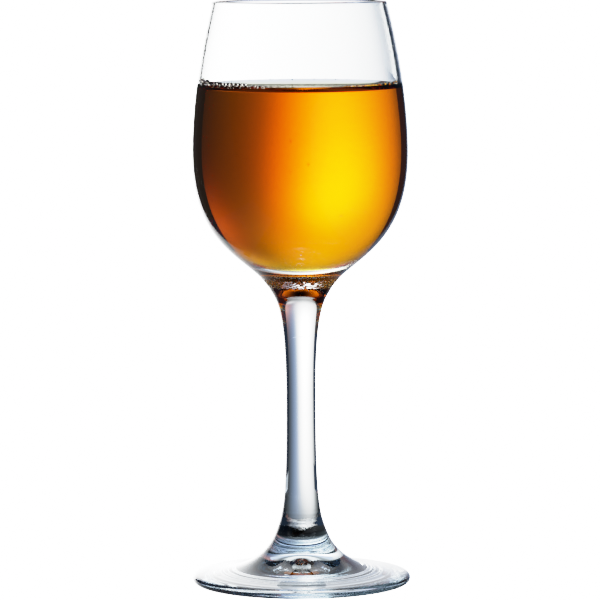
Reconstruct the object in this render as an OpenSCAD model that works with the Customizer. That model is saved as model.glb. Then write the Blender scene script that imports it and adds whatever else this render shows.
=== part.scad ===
// Stemmed liqueur glass with its drink: a blown tulip bowl, a drawn stem and a pressed foot, welded hot
// end to end, and the liqueur as a piece of its own. Everything is turned about the Z axis.
// Millimetres, +Z up, the table at z = 0.

/* [Bowl] */
// Height from the table to the top of the rim
glass_h = 130; // [127:0.5:133]
// Outside diameter across the rim's fire-polished bead
rim_d = 39; // [38:0.2:40]
// Wall thickness at the rim, which is also the bead's diameter
rim_wall = 1; // [0.8:0.1:1.2]
// Lean of the wall towards the axis at the rim, in degrees
rim_lean = 14; // [12:0.5:16]
// Outside diameter at the belly
belly_d = 48.2; // [47:0.2:50]
// Height of the belly
belly_z = 96.5; // [95:0.5:98]
// Wall thickness at the belly
belly_wall = 1.2; // [1:0.1:1.4]
// Height of the inside floor at the axis
floor_z = 73.7; // [72.5:0.1:74.5]

/* [Stem] */
// Diameter at the weld under the bowl
neck_d = 13.7; // [13:0.1:14.4]
// Height of the weld under the bowl
neck_z = 66; // [65:0.5:67]
// Slope of the outline at that weld, in degrees from level
neck_slope = 61.5; // [58:0.5:65]
// Diameter at the slimmest place
waist_d = 6.6; // [6:0.1:8]
// Height of the slimmest place
waist_z = 41.7; // [40:0.1:44]
// Diameter at the weld on the foot
ankle_d = 11.8; // [11:0.1:13]
// Height of the weld on the foot
ankle_z = 11; // [10:0.5:12]
// Slope of the outline at that weld, in degrees from level
ankle_slope = 67.5; // [64:0.5:71]
// Swell of the two welded faces, where each soft end was pressed into the next piece
weld_swell = 0.8; // [0.4:0.1:1.2]

/* [Foot] */
// Diameter of the foot
foot_d = 48.7; // [47:0.1:50]
// Thickness of the foot's rounded edge
edge_t = 2; // [1.6:0.05:2.2]
// Slope of the foot's top where it meets the edge, in degrees from level
instep_slope = 17; // [14:0.5:19]
// Inner diameter of the flat ring that stands on the table
ring_d = 41; // [39.5:0.1:43]
// Rise of the hollow under the foot
hollow_h = 3.1; // [2.6:0.1:3.4]
// Further rise of the dimple in the middle of that hollow
dimple_h = 1.2; // [0.8:0.1:1.6]
// Distance from the axis over which the dimple fades to about a third
dimple_r = 4.5; // [4:0.1:5]

/* [Drink] */
// Level of the drink away from the wall
drink_z = 110.3; // [100:0.1:120]
// Climb of the drink's edge up the wall
meniscus_h = 1.4; // [0.8:0.1:1.8]
// Width of that climbing edge
meniscus_w = 3.2; // [2.6:0.1:3.8]

/* [Fullness of the curves] */
// How far the wall keeps its lean below the rim
rim_pull = 17; // [15:0.5:19]
// How far the outline stays upright above the belly
belly_pull_up = 5; // [4:0.5:7]
// How far the outside stays upright below the belly
belly_pull_down = 22; // [20:0.5:23]
// How far the inside stays upright below the belly
hollow_pull_down = 14.7; // [13:0.1:16.5]
// How far the inside floor stays level away from the axis
floor_pull = 10; // [9:0.5:11.5]
// How far the bowl's underside keeps the slope of the weld
base_pull = 7.7; // [6.5:0.1:9]
// How far the stem keeps the slope of the weld under the bowl
neck_pull = 2.85; // [2.2:0.05:3.5]
// How far the stem stays upright above its slimmest place
waist_pull_up = 20.4; // [17:0.1:22]
// How far the stem stays upright below its slimmest place
waist_pull_down = 23.7; // [19:0.1:25]
// How far the stem keeps the slope of the weld on the foot
ankle_pull = 4.9; // [3.5:0.1:6]
// How far the foot keeps the slope of that weld
instep_pull = 9.6; // [8.5:0.1:10.5]
// How far the foot's top keeps the slope of its edge
toe_pull = 3; // [2:0.1:5]

/* [Hidden] */

glass_colour = [0.87, 0.91, 0.93, 0.4];
drink_colour = [0.93, 0.55, 0.04, 0.85];
curve_steps = 20;
arc_steps = 10;
turn_sides = 128;
upright = [0, 1];

// Points of the outline where its curves meet, as radius and height
bead_r = rim_wall / 2;
bead_centre = [rim_d / 2 - bead_r, glass_h - bead_r];
bead_outside = bead_centre + bead_r * heading(rim_lean);
bead_inside = bead_centre - bead_r * heading(rim_lean);
belly = [belly_d / 2, belly_z];
belly_inside = belly - [belly_wall, 0];
neck = [neck_d / 2, neck_z];
waist = [waist_d / 2, waist_z];
ankle = [ankle_d / 2, ankle_z];
edge_r = edge_t / 2;
edge_centre = [foot_d / 2 - edge_r, edge_r];
edge_top = edge_centre + edge_r * heading(90 - instep_slope);

// Directions of the outline there, pointing up it
rim_way = heading(90 + rim_lean);
neck_way = heading(neck_slope);
ankle_way = heading(180 - ankle_slope);
instep_way = heading(180 - instep_slope);

// Stretches of outline that two pieces share or that one piece is made of
neck_face = swelling(neck, weld_swell);
ankle_face = swelling(ankle, -weld_swell);
inner_side = curve(
  bead_inside, bead_inside - rim_pull * rim_way,
  belly_inside + belly_pull_up * upright, belly_inside
);
inner_base = curve(
  belly_inside, belly_inside - hollow_pull_down * upright,
  [floor_pull, floor_z], [0, floor_z]
);
inner_wall = concat(inner_side, after(inner_base));

// Where the drink's edge meets the wall
contact_z = drink_z + meniscus_h;
contact_r = lookup(contact_z, [for (p = inner_wall) [p[1], p[0]]]);
contact = [contact_r, contact_z];

function heading(angle) = [cos(angle), sin(angle)];

// All points but the first, so that joined stretches share no point twice
function after(points) = [for (i = [1:len(points) - 1]) points[i]];

function backwards(points) = [for (i = [len(points) - 1:-1:0]) points[i]];

// A cubic curve that leaves its start towards one point and comes into its end from another
function curve(start, leave, arrive, end) = [
  for (i = [0:curve_steps])
    let (t = i / curve_steps, s = 1 - t)
      s ^ 3 * start + 3 * s ^ 2 * t * leave + 3 * s * t ^ 2 * arrive + t ^ 3 * end
];

function arc(centre, radius, from, to) = [
  for (i = [0:arc_steps]) centre + radius * heading(from + (to - from) * i / arc_steps)
];

// A shallow ball-shaped face from the axis out to an edge, raised by rise, or sunk where that is negative
function swelling(edge, rise) =
  let (
    radius = (edge[0] ^ 2 + rise ^ 2) / (2 * abs(rise)),
    side = sign(rise),
    half = asin(edge[0] / radius),
    centre = [0, edge[1] + rise - side * radius]
  )
    arc(centre, radius, side * 90, side * (90 - half));

module turned(outline) rotate_extrude($fn = turn_sides) polygon(outline);

// Cup with a leaning side, a bead round the rim and a base that thickens towards the weld
module bowl() {
  base = curve(neck, neck + base_pull * neck_way, belly - belly_pull_down * upright, belly);
  side = curve(belly, belly + belly_pull_up * upright, bead_outside - rim_pull * rim_way, bead_outside);
  bead = arc(bead_centre, bead_r, rim_lean, rim_lean + 180);
  color(glass_colour)
    turned(concat(neck_face, after(base), after(side), after(bead), after(inner_wall)));
}

// Solid rod, drawn thin in the middle and swollen at both welds
module stem() {
  upper = curve(neck, neck - neck_pull * neck_way, waist + waist_pull_up * upright, waist);
  lower = curve(waist, waist - waist_pull_down * upright, ankle + ankle_pull * ankle_way, ankle);
  color(glass_colour)
    turned(concat(neck_face, after(upper), after(lower), after(backwards(ankle_face))));
}

// Disc that sweeps up to the weld, with a round edge, a flat standing ring and a hollow, dimpled underside
module foot() {
  instep = curve(ankle, ankle - instep_pull * ankle_way, edge_top + toe_pull * instep_way, edge_top);
  edge = arc(edge_centre, edge_r, 90 - instep_slope, -90);
  ring = [ring_d / 2, 0];
  dome = curve(ring, [ring[0] * 2 / 3, hollow_h * 3 / 4], [ring[0] / 3, hollow_h], [0, hollow_h]);
  dimple = [for (p = dome) dimple_h * exp(-((p[0] / dimple_r) ^ 2)) * upright];
  hollow = dome + dimple;
  color(glass_colour)
    turned(concat(ankle_face, after(instep), after(edge), hollow));
}

// The drink, filling the bowl to its level and climbing the wall at its edge
module liqueur() {
  wetted = [for (p = backwards(inner_wall)) if (p[1] < contact_z) p];
  meniscus = curve(
    contact, [contact_r - meniscus_w * 0.3, drink_z + meniscus_h * 0.32],
    [contact_r - meniscus_w * 0.6, drink_z], [contact_r - meniscus_w, drink_z]
  );
  color(drink_colour)
    turned(concat(wetted, meniscus, [[0, drink_z]]));
}

bowl();
stem();
foot();
liqueur();
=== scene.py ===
"""Looks of the stemmed liqueur glass: clear welded glass and an amber drink, lit from behind in a studio."""

from math import asin, cos, e, pi, radians, sin
from random import Random

import bmesh
import bpy
from mathutils import Matrix, Vector, noise


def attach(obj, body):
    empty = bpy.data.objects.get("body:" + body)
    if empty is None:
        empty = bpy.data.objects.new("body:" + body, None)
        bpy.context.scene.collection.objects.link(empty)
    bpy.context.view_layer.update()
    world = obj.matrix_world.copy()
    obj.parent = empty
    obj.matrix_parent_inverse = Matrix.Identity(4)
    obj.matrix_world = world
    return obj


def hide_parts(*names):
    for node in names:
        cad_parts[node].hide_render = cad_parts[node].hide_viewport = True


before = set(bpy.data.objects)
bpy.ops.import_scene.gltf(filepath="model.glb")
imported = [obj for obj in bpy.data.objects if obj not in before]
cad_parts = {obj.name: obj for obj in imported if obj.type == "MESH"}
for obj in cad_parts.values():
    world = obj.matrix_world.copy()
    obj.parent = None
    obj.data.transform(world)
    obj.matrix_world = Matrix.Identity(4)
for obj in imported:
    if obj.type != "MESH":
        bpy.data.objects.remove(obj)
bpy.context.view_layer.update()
scene = bpy.context.scene

# Sizes are in millimetres, as the glass was drawn, and become metres where a mesh is made. Angles are in degrees
MM = 0.001

# Bowl
GLASS_H = 130.0
RIM_R = 19.5
RIM_WALL = 1.0
RIM_LEAN = 14.0
BELLY_R = 24.1
BELLY_Z = 96.5
BELLY_WALL = 1.2
FLOOR_Z = 73.7
# Stem
NECK_R = 6.85
NECK_Z = 66.0
NECK_SLOPE = 61.5
WAIST_R = 3.3
WAIST_Z = 41.7
ANKLE_R = 5.9
ANKLE_Z = 11.0
ANKLE_SLOPE = 67.5
WELD_SWELL = 0.8
# Foot
FOOT_R = 24.35
EDGE_T = 2.0
INSTEP_SLOPE = 17.0
RING_R = 20.5
HOLLOW_H = 3.1
DIMPLE_H = 1.2
DIMPLE_R = 4.5
# Drink: its level, the climb and width of its edge, where that edge meets the wall, and how far its side is drawn
# into the wall that it wets
DRINK_Z = 110.3
MENISCUS_H = 1.4
MENISCUS_W = 3.2
CONTACT_Z = DRINK_Z + MENISCUS_H
WETTING = 0.15
# Fullness of the curves: how far each keeps its direction
RIM_PULL = 17.0
BELLY_PULL_UP = 5.0
BELLY_PULL_DOWN = 22.0
HOLLOW_PULL_DOWN = 14.7
FLOOR_PULL = 10.0
BASE_PULL = 7.7
NECK_PULL = 2.85
WAIST_PULL_UP = 20.4
WAIST_PULL_DOWN = 23.7
ANKLE_PULL = 4.9
INSTEP_PULL = 9.6
TOE_PULL = 3.0
# The same for the hollow under the foot and the drink's climbing edge, as shares of their own height and width
DOME_SHOULDER = 0.75
MENISCUS_PULL_IN = 0.3
MENISCUS_PULL_UP = 0.32
MENISCUS_PULL_LEVEL = 0.6

# Ripples left by the hot work, as their height and length: one is spun round the foot's underside, from a distance
# off the axis out to the edge, and a slight one goes round the weld on the foot, from one height to another
UNDER_RIPPLE = (0.16, 1.9)
UNDER_RIPPLE_IN = 11.0
ANKLE_RIPPLE = (0.015, 1.2)
ANKLE_RIPPLE_LOW = 6.0
ANKLE_RIPPLE_HIGH = 17.0
# Crinkle at the front of the weld under the bowl: its height and length, how much longer it is round the glass than
# up it, the heights it lies between, how full it is there, what is left of it at the sides, how fast it fades
# towards the back, and how many times finer the bowl is drawn for it
CRINKLE_H = 0.34
CRINKLE_L = 0.2
CRINKLE_STRETCH = 2
CRINKLE_LOW = 66.5
CRINKLE_HIGH = 68.5
CRINKLE_FULLNESS = 0.5
CRINKLE_AT_SIDES = 0.5
CRINKLE_FADE = 1.5
CRINKLE_FINENESS = 8
# Slow waves on the polished glass, as their height and length
WAVE_H = 0.03
WAVE_L = 14.0

# Froth along the drink's edge, in rows of beads. Each row has where it starts and ends round the edge, with 270 at
# the front, how many beads it has, their smallest and largest radius, how far above the edge it starts, how far
# the beads climb at its start and at its end, and the kinds of beads in turn. The near-black brown kind is painted
# shade: dark beads that darken the drink's edge
CLEAR, PAINTED_SHADE, GOLD = range(3)
FROTH = [
    (182, 208, 12, 0.3, 0.42, 0.0, 1.0, 0.8, (CLEAR, CLEAR, PAINTED_SHADE)),
    (207, 250, 29, 0.28, 0.38, -0.1, 0.1, 0.1, (CLEAR, CLEAR, PAINTED_SHADE)),
    (208, 238, 22, 0.24, 0.34, 0.45, 0.2, 0.1, (PAINTED_SHADE, CLEAR)),
    (248, 266, 10, 0.14, 0.24, 0.0, 0.1, 0.0, (CLEAR, PAINTED_SHADE)),
    (296, 326, 44, 0.16, 0.24, 0.0, 0.1, 0.2, (GOLD, CLEAR, GOLD)),
    (322, 352, 24, 0.22, 0.34, 0.0, 0.15, 0.6, (GOLD, GOLD, CLEAR, PAINTED_SHADE)),
    (60, 150, 14, 0.12, 0.2, -0.2, 0.2, 0.2, (CLEAR, PAINTED_SHADE)),
]
# How far a bead may sit from its place round the edge, as an angle, and from the wall, and the seed for both
FROTH_SWAY = 0.4
FROTH_GAP = 0.15
FROTH_SEED = 5
# Single bubbles of air in the drink: place and radius
DRINK_BUBBLES = [
    (-1.9, -20.0, 100.0, 0.22), (-1.9, -20.0, 93.5, 0.16), (1.8, -20.0, 95.0, 0.2), (0.2, -13.0, 75.8, 0.2),
    (-13.0, -16.0, 97.0, 0.16), (8.5, -17.0, 84.0, 0.18),
]

# How strongly light bends in the glass and in the drink
GLASS_BEND = 1.52
DRINK_BEND = 1.38
# Light lost on its way through the drink and through the foot: what each small step spares of red, green and blue,
# and how many such steps a metre has
DRINK_SPARES = (0.9685, 0.811, 0.0, 1.0)
DRINK_STEPS = 312.0
FOOT_SPARES = (0.62, 0.73, 0.8, 1.0)
FOOT_STEPS = 70.0
WHITE = "#ffffff"
GLASS_TINT = "#fcfefd"
# Places of the finishes on a glass piece
GLASS, SEAM, WET = range(3)
# A face belongs to a weld if it looks up or down this squarely and lies within this many swells of the weld's edge
WELD_LEVEL = 0.8
WELD_REACH = 1.2

# Fineness of the turned meshes, and of the balls that beads and bubbles are
SIDES = 256
STEM_SIDES = 192
CURVE_STEPS = 60
ARC_STEPS = 16
BALL_SIDES = 8
BALL_RINGS = 6
# Points closer than this are one, on an outline, and on a mesh in metres
SAME_POINT = 1e-6
SAME_POINT_M = 1e-7


def linear(colour):
    """An sRGB hex colour as linear red, green, blue and alpha."""
    parts = [int(colour[i : i + 2], 16) / 255 for i in (1, 3, 5)]
    return [p / 12.92 if p <= 0.04045 else ((p + 0.055) / 1.055) ** 2.4 for p in parts] + [1.0]


# Outlines, with the distance from the axis as x and the height as y


def share(value):
    """A value kept between none and all."""
    return min(1, max(0, value))


def heading(angle):
    return Vector((cos(radians(angle)), sin(radians(angle))))


def curve(start, leave, arrive, end, steps=CURVE_STEPS):
    """A cubic curve that leaves its start towards one point and comes into its end from another."""
    points = []
    for i in range(steps + 1):
        t = i / steps
        s = 1 - t
        points.append(s**3 * start + 3 * s**2 * t * leave + 3 * s * t**2 * arrive + t**3 * end)
    return points


def arc(centre, radius, first, last):
    return [centre + radius * heading(first + (last - first) * i / ARC_STEPS) for i in range(ARC_STEPS + 1)]


def straight(start, end):
    """Evenly spaced points from a start to just before an end."""
    return [start.lerp(end, i / ARC_STEPS) for i in range(ARC_STEPS)]


def swelling(edge, rise):
    """A shallow ball-shaped face from the axis out to an edge, raised by rise, or sunk where that is negative."""
    radius = (edge.x**2 + rise**2) / (2 * abs(rise))
    side = 1 if rise > 0 else -1
    half = asin(edge.x / radius) * 180 / pi
    return arc(Vector((0, edge.y + rise - side * radius)), radius, side * 90, side * (90 - half))


def ripple(distance, height, length, low, high):
    """The height of a ripple at a distance along an outline, which fades to nothing at low and high."""
    fade = sin(pi * share((distance - low) / (high - low))) ** 2
    return height * fade * sin(pi * distance / length) ** 2


def outline(*stretches):
    """Stretches of outline joined end to end, with no point twice."""
    points = list(stretches[0])
    for stretch in stretches[1:]:
        points += [p for i, p in enumerate(stretch) if i or (p - points[-1]).length > SAME_POINT]
    return points


def point_at(points, z):
    """The point of a falling outline at a height."""
    for over, under in zip(points, points[1:]):
        if over.y >= z >= under.y:
            return under.lerp(over, (z - under.y) / (over.y - under.y))


UPRIGHT = Vector((0, 1))
bead_r = RIM_WALL / 2
bead_centre = Vector((RIM_R - bead_r, GLASS_H - bead_r))
bead_outside = bead_centre + bead_r * heading(RIM_LEAN)
bead_inside = bead_centre - bead_r * heading(RIM_LEAN)
belly = Vector((BELLY_R, BELLY_Z))
belly_inside = belly - Vector((BELLY_WALL, 0))
neck = Vector((NECK_R, NECK_Z))
waist = Vector((WAIST_R, WAIST_Z))
ankle = Vector((ANKLE_R, ANKLE_Z))
edge_r = EDGE_T / 2
edge_centre = Vector((FOOT_R - edge_r, edge_r))
edge_top = edge_centre + edge_r * heading(90 - INSTEP_SLOPE)
rim_way = heading(90 + RIM_LEAN)
neck_way = heading(NECK_SLOPE)
ankle_way = heading(180 - ANKLE_SLOPE)
instep_way = heading(180 - INSTEP_SLOPE)
neck_face = swelling(neck, WELD_SWELL)
ankle_face = swelling(ankle, -WELD_SWELL)


def inner_wall(deeper=0.0):
    """The inside of the bowl from the rim to the middle of the floor, or a line that far into the glass."""
    lip = bead_inside + deeper * heading(RIM_LEAN)
    widest = belly_inside + Vector((deeper, 0))
    floor = Vector((0, FLOOR_Z - deeper))
    side = curve(lip, lip - RIM_PULL * rim_way, widest + BELLY_PULL_UP * UPRIGHT, widest)
    base = curve(widest, widest - HOLLOW_PULL_DOWN * UPRIGHT, floor + Vector((FLOOR_PULL, 0)), floor)
    return outline(side, base)


contact = point_at(inner_wall(), CONTACT_Z)


# Finishes


def add(tree, kind, links=None, **settings):
    """A shader node with its settings, and its inputs set to values or linked to other nodes' outputs."""
    node = tree.nodes.new(kind)
    for name, value in settings.items():
        setattr(node, name, value)
    for name, value in (links or {}).items():
        if isinstance(value, bpy.types.NodeSocket):
            tree.links.new(value, node.inputs[name])
        else:
            node.inputs[name].default_value = value
    return node


def material(name):
    """An empty material and its tree of nodes."""
    made = bpy.data.materials.new(name)
    made.use_nodes = True
    made.node_tree.nodes.clear()
    return made, made.node_tree


def slow_waves(tree):
    """The slow waves that fire-polishing leaves on glass, far too low to feel."""
    place = add(tree, "ShaderNodeTexCoord")
    waves = add(tree, "ShaderNodeTexNoise", {
        "Vector": place.outputs["Object"], "Scale": 1 / (WAVE_L * MM), "Detail": 1.0,
    })
    return add(tree, "ShaderNodeBump", {"Height": waves.outputs["Fac"], "Distance": WAVE_H * MM}).outputs[0]


def soda_lime_glass():
    """Clear soda-lime glass, blown and fire-polished: it bends light, and its edges show dark and bright lines."""
    made, tree = material("soda_lime_glass")
    shader = add(tree, "ShaderNodeBsdfPrincipled", {
        "Base Color": linear(GLASS_TINT), "Roughness": 0.0, "IOR": GLASS_BEND, "Transmission Weight": 1.0,
        "Normal": slow_waves(tree),
    })
    add(tree, "ShaderNodeOutputMaterial", {"Surface": shader.outputs[0]})
    return made


def wetted_glass():
    """The same glass where the drink wets it: it bends light only a little there, and hardly shines."""
    made, tree = material("wetted_glass")
    shader = add(tree, "ShaderNodeBsdfPrincipled", {
        "Base Color": linear(GLASS_TINT), "Roughness": 0.0, "IOR": GLASS_BEND / DRINK_BEND,
        "Transmission Weight": 1.0,
    })
    add(tree, "ShaderNodeOutputMaterial", {"Surface": shader.outputs[0]})
    return made


def fused_seam():
    """The face inside a hot weld: the two pieces are one glass there, so light crosses it unbent."""
    made, tree = material("fused_seam")
    shader = add(tree, "ShaderNodeBsdfPrincipled", {"Base Color": linear(WHITE), "Alpha": 0.0})
    add(tree, "ShaderNodeOutputMaterial", {"Surface": shader.outputs[0]})
    return made


def pressed_glass():
    """The foot's thick pressed glass: light caught in its edge has a long way to go, and leaves it dark and bluish.

    The faces inside the weld are marked as not solid, so light crosses them unbent.
    """
    made, tree = material("pressed_glass")
    solid = add(tree, "ShaderNodeAttribute", attribute_name="solid")
    shader = add(tree, "ShaderNodeBsdfPrincipled", {
        "Base Color": linear(GLASS_TINT), "Roughness": 0.0, "IOR": GLASS_BEND, "Transmission Weight": 1.0,
        "Alpha": solid.outputs["Fac"], "Normal": slow_waves(tree),
    })
    depth = add(tree, "ShaderNodeVolumeAbsorption", {"Color": FOOT_SPARES, "Density": FOOT_STEPS})
    add(tree, "ShaderNodeOutputMaterial", {"Surface": shader.outputs[0], "Volume": depth.outputs[0]})
    return made


def amber_liqueur():
    """Sweet amber liqueur, clear and still: it takes away blue first, then green, so depth turns it brown.

    It bends light at its free surface. Where it wets the wall, the wetted glass does that for both.
    """
    made, tree = material("amber_liqueur")
    bend = add(tree, "ShaderNodeAttribute", attribute_name="bend")
    shader = add(tree, "ShaderNodeBsdfPrincipled", {
        "Base Color": linear(WHITE), "Roughness": 0.0, "IOR": bend.outputs["Fac"], "Transmission Weight": 1.0,
    })
    depth = add(tree, "ShaderNodeVolumeAbsorption", {"Color": DRINK_SPARES, "Density": DRINK_STEPS})
    add(tree, "ShaderNodeOutputMaterial", {"Surface": shader.outputs[0], "Volume": depth.outputs[0]})
    return made


def wet_film(name, colour):
    """A bead of wet film on the drink's edge, or the skin of a bubble in it: a bright spot with a dark rim.

    Given a near-black colour, it makes a dark bead of painted shade instead.
    """
    made, tree = material(name)
    shader = add(tree, "ShaderNodeBsdfPrincipled", {
        "Base Color": linear(colour), "Roughness": 0.0, "IOR": DRINK_BEND, "Transmission Weight": 1.0,
    })
    add(tree, "ShaderNodeOutputMaterial", {"Surface": shader.outputs[0]})
    return made


# Pieces


def shaped(name, bm, finishes):
    """An object at the origin, with a mesh and its finishes."""
    mesh = bpy.data.meshes.new(name)
    bm.to_mesh(mesh)
    bm.free()
    for finish in finishes:
        mesh.materials.append(finish)
    made = bpy.data.objects.new(name, mesh)
    scene.collection.objects.link(made)
    return made


def piece(name, bm, finishes, node):
    """A piece of the glass or the drink, which stands for a CAD node if one is named."""
    made = shaped(name, bm, finishes)
    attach(made, "root")
    if node:
        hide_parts(node)


def turned(points, sides):
    """A mesh turned about the Z axis from an outline that starts and ends on it."""
    bm = bmesh.new()
    verts = [bm.verts.new((p.x * MM, 0, p.y * MM)) for p in points]
    edges = [bm.edges.new(pair) for pair in zip(verts, verts[1:])]
    bmesh.ops.spin(
        bm, geom=verts + edges, cent=(0, 0, 0), axis=(0, 0, 1), angle=2 * pi, steps=sides, use_merge=True
    )
    bmesh.ops.remove_doubles(bm, verts=bm.verts, dist=SAME_POINT_M)
    bmesh.ops.recalc_face_normals(bm, faces=bm.faces)
    for face in bm.faces:
        face.smooth = True
    return bm


def weld(bm, edge, up):
    """Gives a welded face the seam finish and a crisp edge. up is 1 where the face looks up, and -1 where down."""
    for face in bm.faces:
        middle = face.calc_center_median()
        flat = face.normal.z * up > WELD_LEVEL and middle.xy.length < edge.x * MM
        if flat and abs(middle.z - edge.y * MM) < WELD_REACH * WELD_SWELL * MM:
            face.material_index = SEAM
    for line in bm.edges:
        if len({face.material_index for face in line.link_faces}) > 1:
            line.smooth = False


def crinkle(bm):
    """Crinkles the outside just above the weld at the front, where the soft glass was gathered."""
    round_l = CRINKLE_STRETCH * CRINKLE_L
    for vert in bm.verts:
        z = vert.co.z / MM
        if CRINKLE_LOW < z < CRINKLE_HIGH and vert.co.xy.length > NECK_R * MM:
            fade = sin(pi * (z - CRINKLE_LOW) / (CRINKLE_HIGH - CRINKLE_LOW)) ** CRINKLE_FULLNESS
            out = vert.co.xy.normalized()
            fade *= share(CRINKLE_AT_SIDES - CRINKLE_FADE * out.y)
            spot = Vector((out.x * NECK_R / round_l, out.y * NECK_R / round_l, z / CRINKLE_L))
            vert.co.xy += out * CRINKLE_H * fade * noise.noise(spot) * MM
    bm.normal_update()


def ball(bm, place, radius):
    """Adds a small ball of a few faces and gives its faces back."""
    moved = Matrix.Translation(place * MM)
    made = bmesh.ops.create_uvsphere(
        bm, u_segments=BALL_SIDES, v_segments=BALL_RINGS, radius=radius * MM, matrix=moved
    )
    return {face for vert in made["verts"] for face in vert.link_faces}


glass = soda_lime_glass()
wetted = wetted_glass()
pressed = pressed_glass()
seam = fused_seam()
amber = amber_liqueur()
# The near-black brown film is painted shade: its beads darken the drink's edge between the bright ones
films = [wet_film("clear_film", "#fffaf0"), wet_film("painted_shade_film", "#2a150a"), wet_film("gold_film", "#f0b43c")]


def make_bowl():
    """The cup: a heavy base, a thin leaning side with a bead round the rim, and an inside that the drink wets."""
    fine = curve(
        neck, neck + BASE_PULL * neck_way, belly - BELLY_PULL_DOWN * UPRIGHT, belly,
        CRINKLE_FINENESS * CURVE_STEPS,
    )
    base = [p for i, p in enumerate(fine) if i % CRINKLE_FINENESS == 0 or CRINKLE_LOW < p.y < CRINKLE_HIGH]
    side = curve(belly, belly + BELLY_PULL_UP * UPRIGHT, bead_outside - RIM_PULL * rim_way, bead_outside)
    bead = arc(bead_centre, bead_r, RIM_LEAN, RIM_LEAN + 180)
    wall = inner_wall()
    dry = [p for p in wall if p.y > CONTACT_Z] + [contact]
    wet = [contact] + [p for p in wall if p.y < CONTACT_Z]
    bm = turned(outline(neck_face, base, side, bead, dry, wet), SIDES)
    weld(bm, neck, -1)
    crinkle(bm)
    inside = Vector((0, 0, BELLY_Z * MM))
    for face in bm.faces:
        middle = face.calc_center_median()
        if middle.z < CONTACT_Z * MM and face.normal.dot(inside - middle) > 0:
            face.material_index = WET
    piece("clear_bowl", bm, [glass, seam, wetted], "bowl")


def make_stem():
    """The drawn rod, slimmest at half height, with a slight ripple down to the weld on the foot."""
    upper = curve(neck, neck - NECK_PULL * neck_way, waist + WAIST_PULL_UP * UPRIGHT, waist)
    plain = curve(
        waist, waist - WAIST_PULL_DOWN * UPRIGHT, ankle + ANKLE_PULL * ankle_way, ankle, 2 * CURVE_STEPS
    )
    lower = []
    for p in plain[:-1]:
        swell = ripple(p.y, *ANKLE_RIPPLE, ANKLE_RIPPLE_LOW, ANKLE_RIPPLE_HIGH)
        lower.append(p + Vector((swell, 0)))
    lower.append(ankle)
    bm = turned(outline(neck_face, upper, lower, ankle_face[::-1]), STEM_SIDES)
    weld(bm, neck, 1)
    weld(bm, ankle, -1)
    piece("clear_stem", bm, [glass, seam], "stem")


def make_foot():
    """The pressed disc: it sweeps from the weld to a round edge, and stands on a ring round a rippled hollow."""
    instep = curve(ankle, ankle - INSTEP_PULL * ankle_way, edge_top + TOE_PULL * instep_way, edge_top)
    edge = arc(edge_centre, edge_r, 90 - INSTEP_SLOPE, -90)
    ring = Vector((RING_R, 0))
    shoulder = Vector((RING_R * 2 / 3, HOLLOW_H * DOME_SHOULDER))
    dome = curve(ring, shoulder, Vector((RING_R / 3, HOLLOW_H)), Vector((0, HOLLOW_H)), 3 * CURVE_STEPS)
    hollow = []
    for p in straight(edge[-1], ring) + dome:
        rise = DIMPLE_H * e ** -((p.x / DIMPLE_R) ** 2) if p.x < RING_R else 0
        rise += ripple(p.x, *UNDER_RIPPLE, UNDER_RIPPLE_IN, edge_centre.x)
        hollow.append(p + rise * UPRIGHT)
    bm = turned(outline(ankle_face, instep, edge, hollow), SIDES)
    weld(bm, ankle, 1)
    solid = bm.faces.layers.float.new("solid")
    for face in bm.faces:
        face[solid] = 0.0 if face.material_index == SEAM else 1.0
        face.material_index = GLASS
    piece("clear_foot", bm, [pressed], "foot")


def make_drink():
    """The drink wets the wall, so its side is drawn a little way into the glass and only its top bends light."""
    sunk = inner_wall(WETTING)
    side = [p for p in sunk[::-1] if p.y < CONTACT_Z] + [point_at(sunk, CONTACT_Z)]
    level = Vector((contact.x - MENISCUS_W, DRINK_Z))
    middle_top = Vector((0, DRINK_Z))
    near_wall = Vector((contact.x - MENISCUS_W * MENISCUS_PULL_IN, DRINK_Z + MENISCUS_H * MENISCUS_PULL_UP))
    near_level = Vector((contact.x - MENISCUS_W * MENISCUS_PULL_LEVEL, DRINK_Z))
    meniscus = curve(contact, near_wall, near_level, level, 2 * ARC_STEPS)
    bm = turned(outline(side, meniscus, straight(level, middle_top) + [middle_top]), SIDES)
    bend = bm.faces.layers.float.new("bend")
    for face in bm.faces:
        middle = face.calc_center_median()
        free = face.normal.z > 0 and middle.xy.length < contact.x * MM
        face[bend] = DRINK_BEND if free else 1.0
    piece("amber_drink", bm, [amber], "liqueur")


def make_froth():
    """Beads of froth that crowd and climb along the drink's edge."""
    chance = Random(FROTH_SEED)
    bm = bmesh.new()
    for first, last, count, small, large, low, climb, last_climb, kinds in FROTH:
        for i in range(count):
            along = i / (count - 1)
            way = heading(first + (last - first) * along + chance.uniform(-FROTH_SWAY, FROTH_SWAY))
            radius = chance.uniform(small, large)
            out = contact.x - radius - chance.uniform(0.0, FROTH_GAP)
            z = CONTACT_Z + low + chance.uniform(0.0, climb + (last_climb - climb) * along)
            for face in ball(bm, Vector((way.x * out, way.y * out, z)), radius):
                face.material_index = kinds[i % len(kinds)]
                face.smooth = True
    piece("froth_beads", bm, films, None)


def make_bubbles():
    """A few bubbles of air in the drink. Their faces look inwards, because the drink is outside them."""
    bm = bmesh.new()
    for x, y, z, radius in DRINK_BUBBLES:
        for face in ball(bm, Vector((x, y, z)), radius):
            face.smooth = True
    bmesh.ops.reverse_faces(bm, faces=bm.faces)
    piece("air_bubbles", bm, films[:1], None)


make_bowl()
make_stem()
make_foot()
make_drink()
make_froth()
make_bubbles()

# Studio

# Camera, as far as the photograph tells: a long lens, a little above the rim, looking slightly down
CAMERA_AWAY = 866.0
CAMERA_Z = 147.0
CAMERA_PITCH = 5.511
CAMERA_LENS = 234.17
CAMERA_SENSOR = 36.0
CAMERA_ROLL = 0.27
CAMERA_SIDE = 0.3
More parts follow.
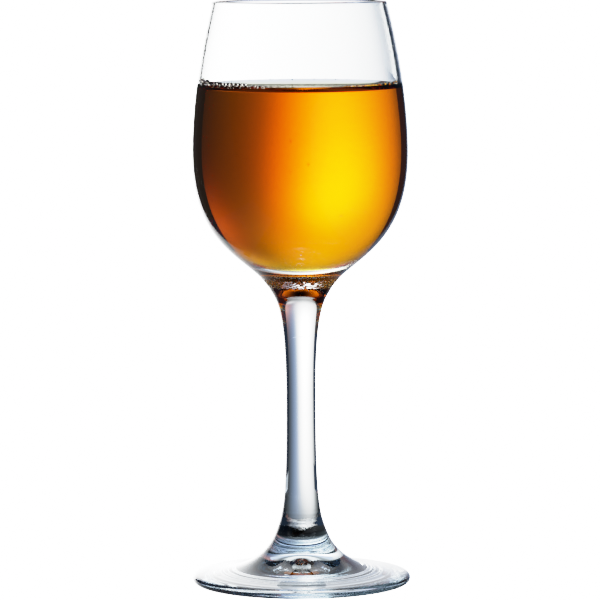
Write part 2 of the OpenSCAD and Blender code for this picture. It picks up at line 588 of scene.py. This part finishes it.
# Soft lamps behind a white cloth tent, which is all that the glass sees: the angle to the right of straight behind
# the glass, the angle above level, how far the glow spreads across and up, its brightness and its colour
LAMPS = [
    (-7.5, 0.0, 9.5, 8.9, 9.0, "#ffffff"),
    (-17.3, -0.8, 10.7, 8.2, 3.6, "#ffffff"),
    (-4.1, 17.0, 12.9, 12.8, 1.5, "#ffffff"),
    (-20.5, 2.3, 20.5, 25.3, 2.9, "#ffffff"),
    (20.6, 30.3, 13.3, 5.6, 0.89, "#ffffff"),
    (-15.0, -10.0, 46.7, 52.5, 0.34, "#e7f6ff"),
    (-130.0, -15.0, 33.4, 60.0, 0.05, "#ffffff"),
    (36.0, 17.5, 16.0, 11.0, 0.85, "#ffb0a4"),
    (-10.0, 58.0, 85.0, 12.0, 3.2, "#ffffff"),
    (12.0, -3.0, 16.0, 25.0, 0.35, "#6ca8ff"),
]
CLOTH_R = 1500.0
CLOTH_Z = 80.0
FLOOR_R = 3000.0
ROUND_SIDES = 96
# Boards close to the glass: black flags on both sides, which draw the dark edges and show in reflections too, and
# pale cards behind and low on the right, which show only through the glass. Each has the strength and colour of
# the light it gives, and its corners, as to the right, back and up
FLAGS = {
    "left_low_flag": (0.11, "#8cb0e0", [
        (-55, -80, 0), (-55, 62, 0), (-55, 62, 12), (-55, 45.4, 12), (-55, 62.9, 60), (-55, -50, 60),
    ]),
    "left_flag": (0.05, "#ffffff", [(-55, -50, 60), (-55, 62.9, 60), (-55, 92, 140), (-55, -10, 140)]),
    "right_flag": (0.05, "#8cb0e0", [
        (55, -300, 0), (55, -20, 0), (55, -20, 9), (55, 53.5, 9), (55, 104, 140), (55, -300, 140),
    ]),
}
CARDS = {
    "back_card": (2.1, "#d3ddff", [(-45, 80, 55), (45, 80, 55), (45, 150, 55), (-45, 150, 55)]),
    "right_card": (0.9, "#dbe8f7", [(56, -20, 0), (56, 58, 0), (56, 58, 9), (56, -20, 9)]),
}
# The dark line on the table where the standing ring touches it, as a painted shadow: a ring of dim light. Its inner
# and outer radius, how far it lies below the ring, the light of the painted shade, the painted light that stands
# for what comes through the foot at its middle, how far that spreads to both sides, and the colour of both
SHADOW_IN = 18.8
SHADOW_OUT = 23.3
SHADOW_DROP = 0.02
SHADOW_LIGHT = 0.03
SHADOW_GLOW = 1.2
SHADOW_GLOW_R = 6.0
SHADOW_TINT = "#e8f0fa"
# How the camera takes up light: a soft shoulder, so that what is brighter than white paper still has some tone.
# The curve is the one that holds for all colours
WHITE_LIGHT = 8.0
FILM = [(0.4, 0.395), (0.7, 0.62), (1.0, 0.755), (1.5, 0.85), (2.0, 0.895), (3.0, 0.935), (4.0, 0.96)]
FILM_CURVE = 3
# How often light may cross glass, and glance off it, before it is given up
CROSSINGS = 32
GLANCES = 24


def make_camera():
    data = bpy.data.cameras.new("camera")
    data.lens = CAMERA_LENS
    data.sensor_width = CAMERA_SENSOR
    made = bpy.data.objects.new("camera", data)
    scene.collection.objects.link(made)
    made.location = (CAMERA_SIDE * MM, -CAMERA_AWAY * MM, CAMERA_Z * MM)
    made.rotation_euler = (radians(90 - CAMERA_PITCH), radians(CAMERA_ROLL), 0)
    scene.camera = made
    return made


def turntable(camera):
    """The lights stand on a ring that turns with the camera, so they stay behind the glass from every side."""
    made = bpy.data.objects.new("light_ring", None)
    scene.collection.objects.link(made)
    facing = made.constraints.new("LOCKED_TRACK")
    facing.target = camera
    facing.track_axis = "TRACK_NEGATIVE_Y"
    facing.lock_axis = "LOCK_Z"
    return made


def lit_cloth():
    """White cloth lit from behind by soft lamps: each shows as a glow that fades away from its middle."""
    made, tree = material("lit_cloth")
    place = add(tree, "ShaderNodeTexCoord")
    way = add(tree, "ShaderNodeVectorMath", {0: place.outputs["Object"]}, operation="NORMALIZE")
    axes = add(tree, "ShaderNodeSeparateXYZ", {0: way.outputs[0]})
    turn = add(tree, "ShaderNodeMath", {0: axes.outputs["X"], 1: axes.outputs["Y"]}, operation="ARCTAN2")
    rise = add(tree, "ShaderNodeMath", {0: axes.outputs["Z"]}, operation="ARCSINE")
    total = None
    for right, up, across, tall, power, colour in LAMPS:
        aside = add(tree, "ShaderNodeMath", {
            0: turn.outputs[0], 1: 1 / radians(across), 2: -right / across,
        }, operation="MULTIPLY_ADD")
        above = add(tree, "ShaderNodeMath", {
            0: rise.outputs[0], 1: 1 / radians(tall), 2: -up / tall,
        }, operation="MULTIPLY_ADD")
        square = add(tree, "ShaderNodeMath", {0: aside.outputs[0], 1: aside.outputs[0]}, operation="MULTIPLY")
        away = add(tree, "ShaderNodeMath", {
            0: above.outputs[0], 1: above.outputs[0], 2: square.outputs[0],
        }, operation="MULTIPLY_ADD")
        glow = add(tree, "ShaderNodeMath", {0: 1 / e, 1: away.outputs[0]}, operation="POWER")
        strength = add(tree, "ShaderNodeMath", {0: glow.outputs[0], 1: power}, operation="MULTIPLY")
        light = add(tree, "ShaderNodeEmission", {"Color": linear(colour), "Strength": strength.outputs[0]})
        if total:
            light = add(tree, "ShaderNodeAddShader", {0: total.outputs[0], 1: light.outputs[0]})
        total = light
    add(tree, "ShaderNodeOutputMaterial", {"Surface": total.outputs[0]})
    return made


def card(name, strength, colour):
    """Card or paper of even brightness: black with a little stray light, pale, or pure white."""
    made, tree = material(name)
    light = add(tree, "ShaderNodeEmission", {"Color": linear(colour), "Strength": strength})
    add(tree, "ShaderNodeOutputMaterial", {"Surface": light.outputs[0]})
    return made


def painted_contact_shadow():
    """The standing ring's painted shadow on the table, with painted light in the middle for light through the foot.
    """
    made, tree = material("painted_contact_shadow")
    place = add(tree, "ShaderNodeTexCoord")
    axes = add(tree, "ShaderNodeSeparateXYZ", {0: place.outputs["Object"]})
    aside = add(tree, "ShaderNodeMath", {
        0: axes.outputs["X"], 1: 1 / (SHADOW_GLOW_R * MM),
    }, operation="MULTIPLY")
    square = add(tree, "ShaderNodeMath", {0: aside.outputs[0], 1: aside.outputs[0]}, operation="MULTIPLY")
    glow = add(tree, "ShaderNodeMath", {0: 1 / e, 1: square.outputs[0]}, operation="POWER")
    strength = add(tree, "ShaderNodeMath", {
        0: glow.outputs[0], 1: SHADOW_GLOW, 2: SHADOW_LIGHT,
    }, operation="MULTIPLY_ADD")
    light = add(tree, "ShaderNodeEmission", {"Color": linear(SHADOW_TINT), "Strength": strength.outputs[0]})
    add(tree, "ShaderNodeOutputMaterial", {"Surface": light.outputs[0]})
    return made


def stage(name, bm, finish):
    """A thing of the studio, which isn't part of the object."""
    made = shaped(name, bm, [finish])
    return made


def make_cloth(ring):
    """A round tent of cloth that the glass sees. The camera looks past it, at the white sweep."""
    bm = bmesh.new()
    bmesh.ops.create_uvsphere(bm, u_segments=ROUND_SIDES, v_segments=ROUND_SIDES // 2, radius=CLOTH_R * MM)
    made = stage("cloth_tent", bm, lit_cloth())
    made.location.z = CLOTH_Z * MM
    made.parent = ring
    made.visible_camera = False


def make_board(name, strength, colour, corners, ring, reflected):
    bm = bmesh.new()
    bm.faces.new([bm.verts.new(Vector(corner) * MM) for corner in corners])
    made = stage(name, bm, card(name, strength, colour))
    made.parent = ring
    made.visible_camera = False
    made.visible_glossy = reflected


# A painted shadow: a flat ring of dim light under the standing ring, seen only through and in the glass
def make_shadow(ring):
    bm = bmesh.new()
    for radius in (SHADOW_IN, SHADOW_OUT):
        bmesh.ops.create_circle(bm, segments=ROUND_SIDES, radius=radius * MM)
    bmesh.ops.bridge_loops(bm, edges=bm.edges)
    made = stage("painted_ring_shadow", bm, painted_contact_shadow())
    made.location.z = -SHADOW_DROP * MM
    made.parent = ring
    made.visible_camera = False


def make_floor():
    """A white floor that only the camera sees."""
    bm = bmesh.new()
    bmesh.ops.create_circle(bm, cap_ends=True, segments=ROUND_SIDES, radius=FLOOR_R * MM)
    made = stage("white_floor", bm, card("white_sweep", WHITE_LIGHT, WHITE))
    made.visible_glossy = False
    made.visible_transmission = False
    made.visible_diffuse = False


def make_room():
    """White all round behind the floor."""
    made = bpy.data.worlds.new("white_room")
    made.use_nodes = True
    background = made.node_tree.nodes["Background"]
    background.inputs["Strength"].default_value = WHITE_LIGHT
    background.inputs["Color"].default_value = linear(WHITE)
    scene.world = made


def expose():
    """Sets the camera's response to light, and how far light is followed through the glass."""
    view = scene.view_settings
    view.view_transform = "Standard"
    view.use_curve_mapping = True
    view.curve_mapping.white_level = [WHITE_LIGHT] * 3
    for light, shown in FILM:
        view.curve_mapping.curves[FILM_CURVE].points.new(light / WHITE_LIGHT, shown)
    view.curve_mapping.update()
    scene.cycles.max_bounces = CROSSINGS
    scene.cycles.transmission_bounces = CROSSINGS
    scene.cycles.transparent_max_bounces = CROSSINGS
    scene.cycles.glossy_bounces = GLANCES
    scene.cycles.use_denoising = True


light_ring = turntable(make_camera())
make_cloth(light_ring)
for name, board in FLAGS.items():
    make_board(name, *board, light_ring, True)
for name, board in CARDS.items():
    make_board(name, *board, light_ring, False)
make_shadow(light_ring)
make_floor()
make_room()
expose()
